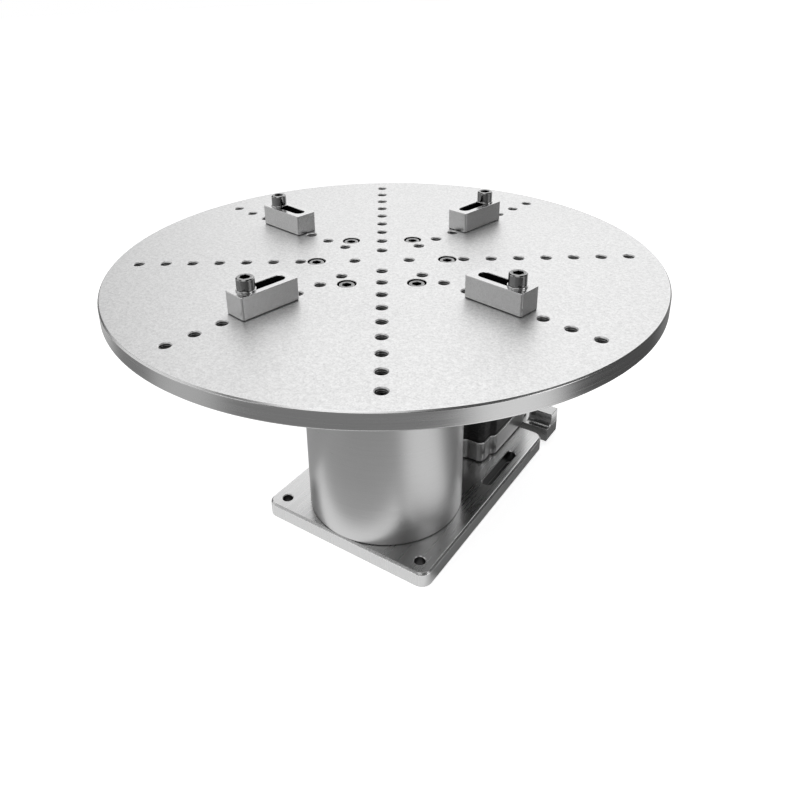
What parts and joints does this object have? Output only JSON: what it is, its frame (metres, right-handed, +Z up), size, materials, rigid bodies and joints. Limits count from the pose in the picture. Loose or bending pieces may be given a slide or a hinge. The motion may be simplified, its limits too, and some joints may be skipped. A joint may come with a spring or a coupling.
{
  "type": "rotary table",
  "caption": "Round drilled table plate with slotted clamps on a tubular column, turned by a belt from a motor standing behind it on a flat base.",
  "frame": {"origin": "on the spindle's axis, on the ground under the base plate", "axes": "+Z up along the spindle's axis, +Y from the column towards the motor, +X to the right of someone who looks along +Y"},
  "size_m": [0.3998, 0.3998, 0.25],
  "materials": {
    "table_aluminium": "bead-blasted, fine grain",
    "column_aluminium": "turned, satin",
    "milled_aluminium": "milled, satin",
    "block_aluminium": "milled, satin",
    "cast_aluminium": "cast, fine blasted",
    "bright_steel": "polished",
    "dark_steel": "black oxide",
    "black_paint": "satin black",
    "belt_rubber": "matt, toothed inside"
  },
  "bodies": {
    "base": {"base_plate": "milled_aluminium", "rear_foot": "milled_aluminium", "column": "column_aluminium", "column_foot_screw_1": "dark_steel", "column_foot_screw_2": "dark_steel", "column_foot_screw_3": "dark_steel", "column_foot_screw_4": "dark_steel", "drive_housing": "cast_aluminium", "housing_cover": "milled_aluminium", "drive_belt": "belt_rubber", "lower_bearing_outer": "bright_steel", "upper_bearing_outer": "bright_steel", "housing_screw_1": "dark_steel", "housing_screw_2": "dark_steel", "housing_screw_3": "dark_steel", "housing_screw_4": "dark_steel", "cover_screw_1": "dark_steel", "cover_screw_2": "dark_steel", "cover_screw_3": "dark_steel", "cover_screw_4": "dark_steel", "motor_rear_bell": "cast_aluminium", "motor_stack": "black_paint", "motor_front_bell": "cast_aluminium", "motor_connector": "bright_steel", "motor_mount_screw_1": "dark_steel", "motor_mount_screw_2": "dark_steel", "motor_mount_screw_3": "dark_steel", "motor_mount_screw_4": "dark_steel", "motor_foot_screw_1": "dark_steel", "motor_foot_screw_2": "dark_steel", "motor_foot_screw_3": "dark_steel", "motor_foot_screw_4": "dark_steel"},
    "table": {"table_plate": "table_aluminium", "spindle": "bright_steel", "lower_bearing_inner": "bright_steel", "upper_bearing_inner": "bright_steel", "spindle_nut": "dark_steel", "spindle_pulley": "milled_aluminium", "plate_screw_1": "bright_steel", "plate_screw_2": "bright_steel", "plate_screw_3": "bright_steel", "plate_screw_4": "bright_steel", "plate_screw_5": "bright_steel", "plate_screw_6": "bright_steel"},
    "motor_spindle": {"motor_shaft": "bright_steel", "motor_rotor": "dark_steel", "motor_pulley": "milled_aluminium"},
    "clamp_1_screw": {"clamp_1_screw": "bright_steel"},
    "clamp_1_washer": {"clamp_1_washer": "bright_steel"},
    "clamp_1_block": {"clamp_1_block": "block_aluminium"},
    "clamp_2_screw": {"clamp_2_screw": "bright_steel"},
    "clamp_2_washer": {"clamp_2_washer": "bright_steel"},
    "clamp_2_block": {"clamp_2_block": "block_aluminium"},
    "clamp_3_screw": {"clamp_3_screw": "bright_steel"},
    "clamp_3_washer": {"clamp_3_washer": "bright_steel"},
    "clamp_3_block": {"clamp_3_block": "block_aluminium"},
    "clamp_4_screw": {"clamp_4_screw": "bright_steel"},
    "clamp_4_washer": {"clamp_4_washer": "bright_steel"},
    "clamp_4_block": {"clamp_4_block": "block_aluminium"}
  },
  "joints": [
    {"name": "table_spin", "type": "hinge", "parent": "base", "child": "table", "pos_m": [0, 0, 0.2], "axis": [0, 0, 1], "continuous": true},
    {"name": "motor_spin", "type": "hinge", "parent": "base", "child": "motor_spindle", "pos_m": [0, 0.128, 0.1], "axis": [0, 0, 1], "continuous": true},
    {"name": "clamp_1_turn", "type": "hinge", "parent": "table", "child": "clamp_1_screw", "pos_m": [0.0229, 0.11779, 0.241], "axis": [0, 0, 1], "range_deg": [0, 180]},
    {"name": "clamp_1_swivel", "type": "hinge", "parent": "table", "child": "clamp_1_washer", "pos_m": [0.0229, 0.11779, 0.241], "axis": [0, 0, 1], "continuous": true},
    {"name": "clamp_1_slide", "type": "slide", "parent": "clamp_1_washer", "child": "clamp_1_block", "axis": [0.1908, 0.9816, 0], "range_m": [0, 0.025]},
    {"name": "clamp_2_turn", "type": "hinge", "parent": "table", "child": "clamp_2_screw", "pos_m": [-0.11779, 0.0229, 0.241], "axis": [0, 0, 1], "range_deg": [0, 180]},
    {"name": "clamp_2_swivel", "type": "hinge", "parent": "table", "child": "clamp_2_washer", "pos_m": [-0.11779, 0.0229, 0.241], "axis": [0, 0, 1], "continuous": true},
    {"name": "clamp_2_slide", "type": "slide", "parent": "clamp_2_washer", "child": "clamp_2_block", "axis": [-0.9816, 0.1908, 0], "range_m": [0, 0.025]},
    {"name": "clamp_3_turn", "type": "hinge", "parent": "table", "child": "clamp_3_screw", "pos_m": [-0.0229, -0.11779, 0.241], "axis": [0, 0, 1], "range_deg": [0, 180]},
    {"name": "clamp_3_swivel", "type": "hinge", "parent": "table", "child": "clamp_3_washer", "pos_m": [-0.0229, -0.11779, 0.241], "axis": [0, 0, 1], "continuous": true},
    {"name": "clamp_3_slide", "type": "slide", "parent": "clamp_3_washer", "child": "clamp_3_block", "axis": [-0.1908, -0.9816, 0], "range_m": [0, 0.025]},
    {"name": "clamp_4_turn", "type": "hinge", "parent": "table", "child": "clamp_4_screw", "pos_m": [0.11779, -0.0229, 0.241], "axis": [0, 0, 1], "range_deg": [0, 180]},
    {"name": "clamp_4_swivel", "type": "hinge", "parent": "table", "child": "clamp_4_washer", "pos_m": [0.11779, -0.0229, 0.241], "axis": [0, 0, 1], "continuous": true},
    {"name": "clamp_4_slide", "type": "slide", "parent": "clamp_4_washer", "child": "clamp_4_block", "axis": [0.9816, -0.1908, 0], "range_m": [0, 0.025]}
  ],
  "couplings": [
    {"joint": "motor_spin", "follows": "table_spin", "ratio": 2.3333}
  ]
}
